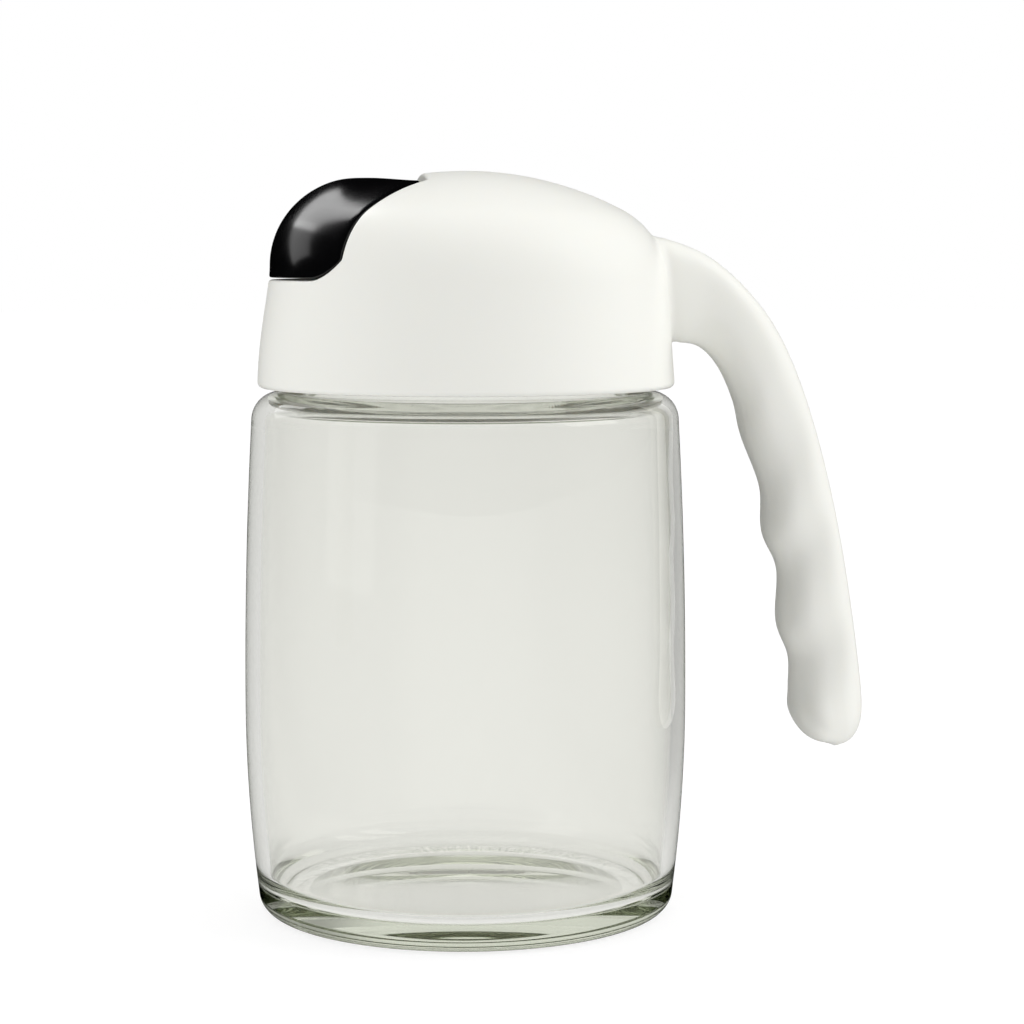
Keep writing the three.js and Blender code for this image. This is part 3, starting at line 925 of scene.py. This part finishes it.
def smooth_line(corners, steps):
    """A Catmull-Rom curve through corners, at equal steps."""
    corners = np.array(corners, float)
    held = np.concatenate([corners[:1], corners, corners[-1:]])
    share = np.linspace(0, 1, CURVE_STEPS, endpoint=False)[:, None]
    stretches = []
    for a, b, c, d in zip(held, held[1:], held[2:], held[3:]):
        stretches.append(0.5 * (2 * b + (c - a) * share + (2 * a - 5 * b + 4 * c - d) * share ** 2
                                + (3 * b - a - 3 * c + d) * share ** 3))
    return spaced(np.concatenate(stretches + [corners[-1:]]), steps)


def handle_bar():
    """The handle as a closed bar, from inside the dome to its rounded tip."""
    back = smooth_line(HANDLE_BACK, HANDLE_STEPS)
    grip = smooth_line(HANDLE_GRIP, HANDLE_STEPS)
    turn = np.linspace(0, 2 * math.pi, SECTION_STEPS, endpoint=False)
    power = np.where(np.cos(turn) > 0, 2 / BACK_SQUARENESS, 2 / GRIP_SQUARENESS)
    depth = np.sign(np.cos(turn)) * np.abs(np.cos(turn)) ** power
    width = np.sign(np.sin(turn)) * np.abs(np.sin(turn)) ** power
    thickness = np.hypot(*(back - grip).T)
    ridges = RIDGE_SHARE * (thickness - softened(thickness, RIDGE_WINDOW))
    towards_grip = np.clip(0.5 - RIDGE_SPREAD * np.cos(turn), 0, 1)
    skin = Skin()
    rings = []
    for outer, inner, ridge in zip(back, grip, ridges):
        centre, half = (outer + inner) / 2, (outer - inner) / 2
        above_tip = min(1, max(0, centre[1] - HANDLE_BACK[-1][1]) / HANDLE_TIP_LENGTH)
        half_width = HANDLE_WIDTH / 2 * (0.5 + 0.5 * math.sqrt(1 - (1 - above_tip) ** 2))
        reach = half_width + ridge * towards_grip
        rings.append(np.stack([centre[0] + depth * half[0], reach * width,
                               centre[1] + depth * half[1]], 1))
    ids = skin.add_rings(rings)
    for ring, number in ((rings[0], ids[0]), (rings[-1], ids[-1])):
        middle = skin.add_points([ring.mean(0)])[0]
        after = number[1:] + number[:1]
        skin.faces += [[one, two, middle] for one, two in zip(number, after)]
    return skin.closed("handle_bar", white_plastic)


def inner_dome():
    """The dome's hollow as a closed body."""
    angles = np.linspace(-math.pi, math.pi, HOLLOW_SIDES + 1)[:-1]
    foot = skirt_radius(angles, CAP_EDGE + ROW_GAP, CAP_WALL)
    rings = [at_radius(angles, foot, CAP_EDGE - HOLLOW_DROP)]
    rings += [on_dome(angles, share, CAP_WALL) for share in np.linspace(HOLLOW_START, 1, HOLLOW_ROWS)]
    skin = Skin()
    skin.faces.append(skin.add_rings(rings)[0])
    return skin.closed("inner_dome", white_plastic)


handle = joined_with(handle_bar(), inner_dome(), "DIFFERENCE")
print("Handle:", triangle_count(handle), "triangles")

# %% [markdown]
# The pouring lip and the hinge's sockets
#
# Under the flap, an oval lip stands out of the deck's front with the opening that the oil leaves
# by, and the recess's side walls have two sockets for the flap's stubs. They are bars and rods
# that are joined to the shell or cut out of it.

# %% Lip and sockets
HINGE = (13.8, 152.85)
SOCKET_RADIUS = 1
SOCKET_HALF_LENGTH = 18.4
LIP_CENTRE = (31, 142.2)
LIP_OPENING = (18, 8.4)
LIP_RING = 1.5
LIP_BACK = 5
LIP_FRONT = 3.8
LIP_EDGE_ROUNDING = 0.6
OPENING_REACH = 6
OPENING_ROUNDING = 0.3
SOCKET_ROUNDING = 0.1
BAR_SIDES = 48


def bar(name, start, end, radii, edge, material):
    """A closed elliptical bar between two points at one height, with rounded end edges."""
    start, end = np.array(start, float), np.array(end, float)
    along = (end - start) / np.linalg.norm(end - start)
    side = np.cross(along, (0, 0, 1))
    turn = np.linspace(0, 2 * math.pi, BAR_SIDES, endpoint=False)
    quarter = rounding(edge, (90, 60, 30, 0))
    stops = [(start + along * out, shrink) for out, shrink in quarter]
    stops += [(end - along * out, shrink) for out, shrink in quarter[::-1]]
    rings = []
    for place, shrink in stops:
        across = np.cos(turn)[:, None] * side * (radii[0] - shrink)
        upward = np.sin(turn)[:, None] * np.array([(0, 0, radii[1] - shrink)])
        rings.append(place + across + upward)
    skin = Skin()
    ids = skin.add_rings(rings)
    skin.faces += [ids[0], ids[-1]]
    return skin.closed(name, material)


def lip_bar(name, further, wider, edge):
    """A bar along the lip's axis, reaching further at both ends and wider than the opening."""
    back = (LIP_BACK + further - LIP_CENTRE[0], 0, LIP_CENTRE[1])
    front = (-LIP_FRONT - further - LIP_CENTRE[0], 0, LIP_CENTRE[1])
    radii = [size / 2 + wider for size in LIP_OPENING]
    return bar(name, back, front, radii, edge, white_plastic)


def hinge_rod(name, radius, half_length, edge, material):
    """A round rod along the hinge's axis."""
    left, right = ((-HINGE[0], side * half_length, HINGE[1]) for side in (-1, 1))
    return bar(name, left, right, (radius, radius), edge, material)


lip = lip_bar("lip", 0, LIP_RING, LIP_EDGE_ROUNDING)
opening = lip_bar("opening", OPENING_REACH, 0, OPENING_ROUNDING)
sockets = hinge_rod("sockets", SOCKET_RADIUS, SOCKET_HALF_LENGTH, SOCKET_ROUNDING, white_plastic)
joined_with(cap, lip, "UNION")
joined_with(cap, opening, "DIFFERENCE")
joined_with(cap, sockets, "DIFFERENCE")
joined_with(cap, handle, "UNION")
cap.name = "cap_shell_with_handle"
print("Cap with handle and lip:", triangle_count(cap), "triangles")

# %% [markdown]
# The fillet at the handle's root
#
# In a mould no two surfaces meet in a knife-sharp corner: the handle flows into the dome over a
# millimetre or two. The crease that the join leaves is found by its angle, and the points near it
# are relaxed towards their neighbours a few times, which rounds it off.

# %% The root's fillet
FILLET_REACH = 2.4
FILLET_TURNS = 14
CREASE_ANGLE = math.radians(22)
CRISP_ANGLE = 38
ROOT_LOW = (20, -14, 116)
ROOT_HIGH = (60, 14, 152)


def relaxed_crease(made, low, high, reach, turns):
    """Rounds off creases inside a box of the mesh, all in millimetres."""
    work = bmesh.new()
    work.from_mesh(made.data)
    low, high = Vector(low) * MM, Vector(high) * MM
    creased = set()
    for edge in work.edges:
        middle = (edge.verts[0].co + edge.verts[1].co) / 2
        within = all(low[k] < middle[k] < high[k] for k in range(3))
        if within and len(edge.link_faces) == 2 and edge.calc_face_angle(0) > CREASE_ANGLE:
            creased.update(edge.verts)
    # From the crease the search spreads along the edges until it has gone the whole reach.
    near = set(creased)
    front = {v: 0.0 for v in creased}
    while front:
        wider = {}
        for v, gone in front.items():
            for edge in v.link_edges:
                other = edge.other_vert(v)
                far = gone + edge.calc_length()
                if far < reach * MM and other not in near:
                    wider[other] = min(far, wider.get(other, 1))
        near.update(wider)
        front = wider
    near = sorted(near, key=lambda v: v.index)
    for _ in range(turns):
        bmesh.ops.smooth_vert(work, verts=near, factor=0.5, use_axis_x=True, use_axis_y=True,
                              use_axis_z=True)
    work.to_mesh(made.data)
    work.free()
    return len(near)


moved = relaxed_crease(cap, ROOT_LOW, ROOT_HIGH, FILLET_REACH, FILLET_TURNS)
edge_by_angle(cap, CRISP_ANGLE)
print("Root fillet:", moved, "points relaxed")

# %% [markdown]
# The flap
#
# The flap is a thin shell that continues the brow. Its top is a little flatter than the dome: it
# is straight from side to side and dips towards the hinge, so it is the lower of the two
# surfaces, blended softly where they cross. Its edges are rounded, its underside follows at an
# even 2.2 mm, and a barrel with a stub at each end carries it on the cap.

# %% The flap
FLAP_ROUNDING = 0.5
TOP_BLEND = 0.3
BARREL_RADIUS = 2.2
BARREL_HALF_LENGTH = 13
STUB_RADIUS = 0.75
STUB_HALF_LENGTH = 18
ROD_ROUNDING = 0.3
MOST_BLEND = 40


def flap_top(points, depth):
    """Lowers points that stand above the flap's own top surface, less a depth."""
    reach = -points[:, 0]
    back = np.clip((BROW_CREST[0] - reach) / FLAP_BACK_LENGTH, 0, 1)
    top = BROW_CREST[1] - FLAP_BACK_DROP * (1 - np.cos(math.pi * back)) / 2 - depth
    gap = np.clip((points[:, 2] - top) / TOP_BLEND, -MOST_BLEND, MOST_BLEND)
    lowered = points.copy()
    lowered[:, 2] = points[:, 2] - TOP_BLEND * np.log1p(np.exp(gap))
    return lowered


def on_flap(places, depth):
    """The flap's surface at places of the dome, at a depth."""
    return flap_top(on_dome(*places.T, depth), depth)


def flap_ring(back, depth):
    """The ring that lies a distance inside the flap's outline, at a depth."""
    return on_flap(seam(-back, -back, depth), depth)


def flap_shell():
    """The flap's top, its rounded edge and its underside."""
    skin = Skin()
    top_loop, under_loop = (seam(-FLAP_ROUNDING, -FLAP_ROUNDING, depth) for depth in (0, FLAP_WALL))
    outside = skin.add_sheet(top_loop, True, lambda places: on_flap(places, 0))
    inside = skin.add_sheet(under_loop, True, lambda places: on_flap(places, FLAP_WALL))
    quarter = rounding(FLAP_ROUNDING, (22, 45, 68, 90))
    rings = [flap_ring(back, depth) for back, depth in quarter]
    rings += [flap_ring(back, FLAP_WALL - depth) for back, depth in quarter[::-1]]
    skin.add_rings(rings, outside, inside)
    return skin.closed("flap_black", black_plastic)


flap = flap_shell()
barrel = hinge_rod("barrel", BARREL_RADIUS, BARREL_HALF_LENGTH, ROD_ROUNDING, black_plastic)
stubs = hinge_rod("stubs", STUB_RADIUS, STUB_HALF_LENGTH, ROD_ROUNDING, black_plastic)
joined_with(flap, barrel, "UNION")
joined_with(flap, stubs, "UNION")
edge_by_angle(flap, CRISP_ANGLE)
print("Flap:", triangle_count(flap), "triangles")

# %% [markdown]
# Fitting the pieces to the solids
#
# Each finished piece takes the place of the solid that it stands for and rides on that solid's body. The
# flap's body turns about the hinge, and the jar and the cap stay together.

# %% Fitting
fitting = ((jar, "glass_jar", "bottle", "clear_glass"),
           (cap, "cap", "bottle", "white_plastic"),
           (flap, "flap", "flap", "black_plastic"))
for piece, node, body, slot in fitting:
    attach(piece, body)
    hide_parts(node)
    print(piece.name, "stands for", node, "on body", body)

# %% [markdown]
# The floor
#
# The bottle stands on a pale acrylic light table, as glass is photographed: the floor glows by
# itself, so it stays as pale as the ground behind, and takes only a faint soft shadow. Clear
# glass shows itself by dark lines at its edges, where it bends in what stands at the sides. So
# light that has passed through glass finds the right side, and a little the left, less bright.
# Nothing else sees that, and the white and black plastic stay evenly lit.

# %% The floor


def side_light(tree, direction):
    """Share of the light that comes from a direction, as seen through glass."""
    level = add_node(tree, "ShaderNodeVectorMath", {1: (1, 1, 0), 2: (0, 0, SIDE_START)},
                     {0: direction}, operation="MULTIPLY_ADD")
    unit = add_node(tree, "ShaderNodeVectorMath", operation="NORMALIZE", links={0: level})
    x = add_node(tree, "ShaderNodeSeparateXYZ", links={"Vector": unit})
    sides = []
    for start, end, low, high in ((0.3, 0.65, 1.0, RIGHT_SHARE), (-0.65, -0.2, LEFT_SHARE, 1.0)):
        side = add_node(tree, "ShaderNodeMapRange",
                        {"From Min": start, "From Max": end, "To Min": low, "To Max": high},
                        {"Value": x}, interpolation_type="SMOOTHSTEP")
        sides.append(side)
    both = add_node(tree, "ShaderNodeMath", operation="MULTIPLY", links={0: sides[0], 1: sides[1]})
    through_glass = add_node(tree, "ShaderNodeLightPath").outputs["Is Transmission Ray"]
    return add_node(tree, "ShaderNodeMapRange", {"To Min": 1.0},
                    {"Value": through_glass, "To Max": both})


def floor_material():
    """A pale acrylic light table: mostly its own glow, and a faint soft shadow."""
    material, tree = new_material("pale_light_table")
    place = add_node(tree, "ShaderNodeTexCoord").outputs["Object"]
    strength = add_node(tree, "ShaderNodeMath", {1: FLOOR_GLOW}, {0: side_light(tree, place)},
                        operation="MULTIPLY")
    glow = add_node(tree, "ShaderNodeEmission", {"Color": linear("FFFFFF")}, {"Strength": strength})
    matt = add_node(tree, "ShaderNodeBsdfDiffuse", {"Color": (FLOOR_MATT,) * 3 + (1,)})
    both = add_node(tree, "ShaderNodeAddShader", links={0: glow, 1: matt})
    add_node(tree, "ShaderNodeOutputMaterial", links={"Surface": both})
    return material


SIDE_START = 0.2
RIGHT_SHARE = 0.5
LEFT_SHARE = 0.88
FLOOR_GLOW = 0.8
FLOOR_MATT = 0.25
FLOOR_HALF = 6000
corners = [(-FLOOR_HALF, -FLOOR_HALF, 0), (FLOOR_HALF, -FLOOR_HALF, 0),
           (FLOOR_HALF, FLOOR_HALF, 0), (-FLOOR_HALF, FLOOR_HALF, 0)]
floor = mesh_object("floor", corners, [(0, 1, 2, 3)], floor_material())
floor.visible_glossy = False
print("Floor: glow", FLOOR_GLOW, "and a right side of", RIGHT_SHARE, "in glass")

# %% [markdown]
# The room's light
#
# The room is an even pale tent, a third as bright where the camera stands, which gives the glass
# and the white plastic their soft shading. Gloss doesn't see the tent, only the lights meant for
# it, so the black flap stays black. Light needs many bounces to leave a thick glass base, or it
# turns black.

# %% The room's light


def studio_world():
    """Even pale light from all round, darker in front and, in glass, at the sides."""
    world = bpy.data.worlds.new("studio")
    world.use_nodes = True
    tree = world.node_tree
    tree.nodes.clear()
    direction = add_node(tree, "ShaderNodeTexCoord").outputs["Generated"]
    split = add_node(tree, "ShaderNodeSeparateXYZ", links={"Vector": direction})
    side = side_light(tree, direction)
    level = add_node(tree, "ShaderNodeMapRange",
                     {"From Min": -1.0, "From Max": -0.15, "To Min": FRONT_LIGHT, "To Max": BACK_LIGHT},
                     {"Value": split.outputs["Y"]}, interpolation_type="SMOOTHSTEP")
    strength = add_node(tree, "ShaderNodeMath", operation="MULTIPLY", links={0: level, 1: side})
    light = add_node(tree, "ShaderNodeBackground", {"Color": linear("FFFFFF")}, {"Strength": strength})
    ground = add_node(tree, "ShaderNodeBackground", {"Color": linear("FFFFFF"), "Strength": 1.0})
    seen = add_node(tree, "ShaderNodeLightPath").outputs["Is Camera Ray"]
    both = add_node(tree, "ShaderNodeMixShader", links={"Fac": seen, 1: light, 2: ground})
    add_node(tree, "ShaderNodeOutputWorld", links={"Surface": both})
    world.cycles_visibility.glossy = False
    return world


FRONT_LIGHT = 0.3
BACK_LIGHT = 1.05
GLASS_BOUNCES = 96
GLOSS_BOUNCES = 64
bpy.context.scene.world = studio_world()
bpy.context.scene.cycles.max_bounces = GLASS_BOUNCES
bpy.context.scene.cycles.transmission_bounces = GLASS_BOUNCES
bpy.context.scene.cycles.glossy_bounces = GLOSS_BOUNCES
print("Studio: ground", BACK_LIGHT, "behind and", FRONT_LIGHT, "in front")

# %% [markdown]
# The soft lights
#
# A strong soft light on the right and weak ones on the left and above model the dome. They are
# hidden from gloss. Two tilted strips behind do the opposite: only gloss sees them, and they draw
# the two soft-edged bands on the black flap.

# %% The soft lights


def soft_light(name, place, target, width, height, power, turn=0):
    """A rectangular soft light at a place in metres, facing a target and turned about that line."""
    data = bpy.data.lights.new(name, "AREA")
    data.shape = "RECTANGLE"
    data.size, data.size_y = width, height
    data.energy = power
    light = bpy.data.objects.new(name, data)
    light.location = place
    facing = (Vector(place) - Vector(target)).to_track_quat("Z", "Y")
    light.rotation_euler = (facing @ Quaternion((0, 0, 1), math.radians(turn))).to_euler()
    bpy.context.scene.collection.objects.link(light)
    return light


STRIP_TURN = 50
BOTTLE_MIDDLE = (0, 0, 0.09)
FLAP_PLACE = (-0.03, 0, 0.15)
modelling = (("right_soft_light", (0.75, -0.25, 0.7), 0.6, 0.8, 3.0),
             ("left_soft_light", (-0.8, -0.3, 0.35), 0.5, 0.9, 0.8),
             ("top_light", (0.1, 0.25, 1.1), 0.8, 0.8, 1.5))
for name, place, width, height, power in modelling:
    light = soft_light(name, place, BOTTLE_MIDDLE, width, height, power)
    light.visible_glossy = False
strips = (("high_strip", (-0.43, 0.71, 0.8), 1.5), ("low_strip", (-0.74, 0.63, 0.57), 0.5))
for name, place, power in strips:
    strip = soft_light(name, place, FLAP_PLACE, 0.36, 0.5, power, STRIP_TURN)
    strip.visible_diffuse = False
    strip.visible_transmission = False
print("Lights:", len(modelling), "for the form and", len(strips), "for the gloss")

# %% [markdown]
# The camera
#
# The camera looks at the bottle from the side, a little from the pouring side and from just above,
# through a long lens, so that the outlines stay nearly square.

# %% Camera
LENS = 96.8
CAMERA_PLACE = (-0.0616, -0.5835, 0.1408)
CAMERA_TURN = math.radians(-7.0)
CAMERA_RISE = math.radians(5.39)
looking_back = Vector((math.sin(CAMERA_TURN) * math.cos(CAMERA_RISE),
                       -math.cos(CAMERA_TURN) * math.cos(CAMERA_RISE), math.sin(CAMERA_RISE)))
lens = bpy.data.cameras.new("camera")
lens.lens = LENS
camera = bpy.data.objects.new("camera", lens)
camera.location = CAMERA_PLACE
camera.rotation_euler = looking_back.to_track_quat("Z", "Y").to_euler()
bpy.context.scene.collection.objects.link(camera)
bpy.context.scene.camera = camera
bpy.context.scene.view_settings.view_transform = "Standard"
print("Camera:", LENS, "mm lens")

# %% [markdown]
# The end
#
# The view layer is brought up to date, so every piece stands where it was put.

# %% The end
bpy.context.view_layer.update()
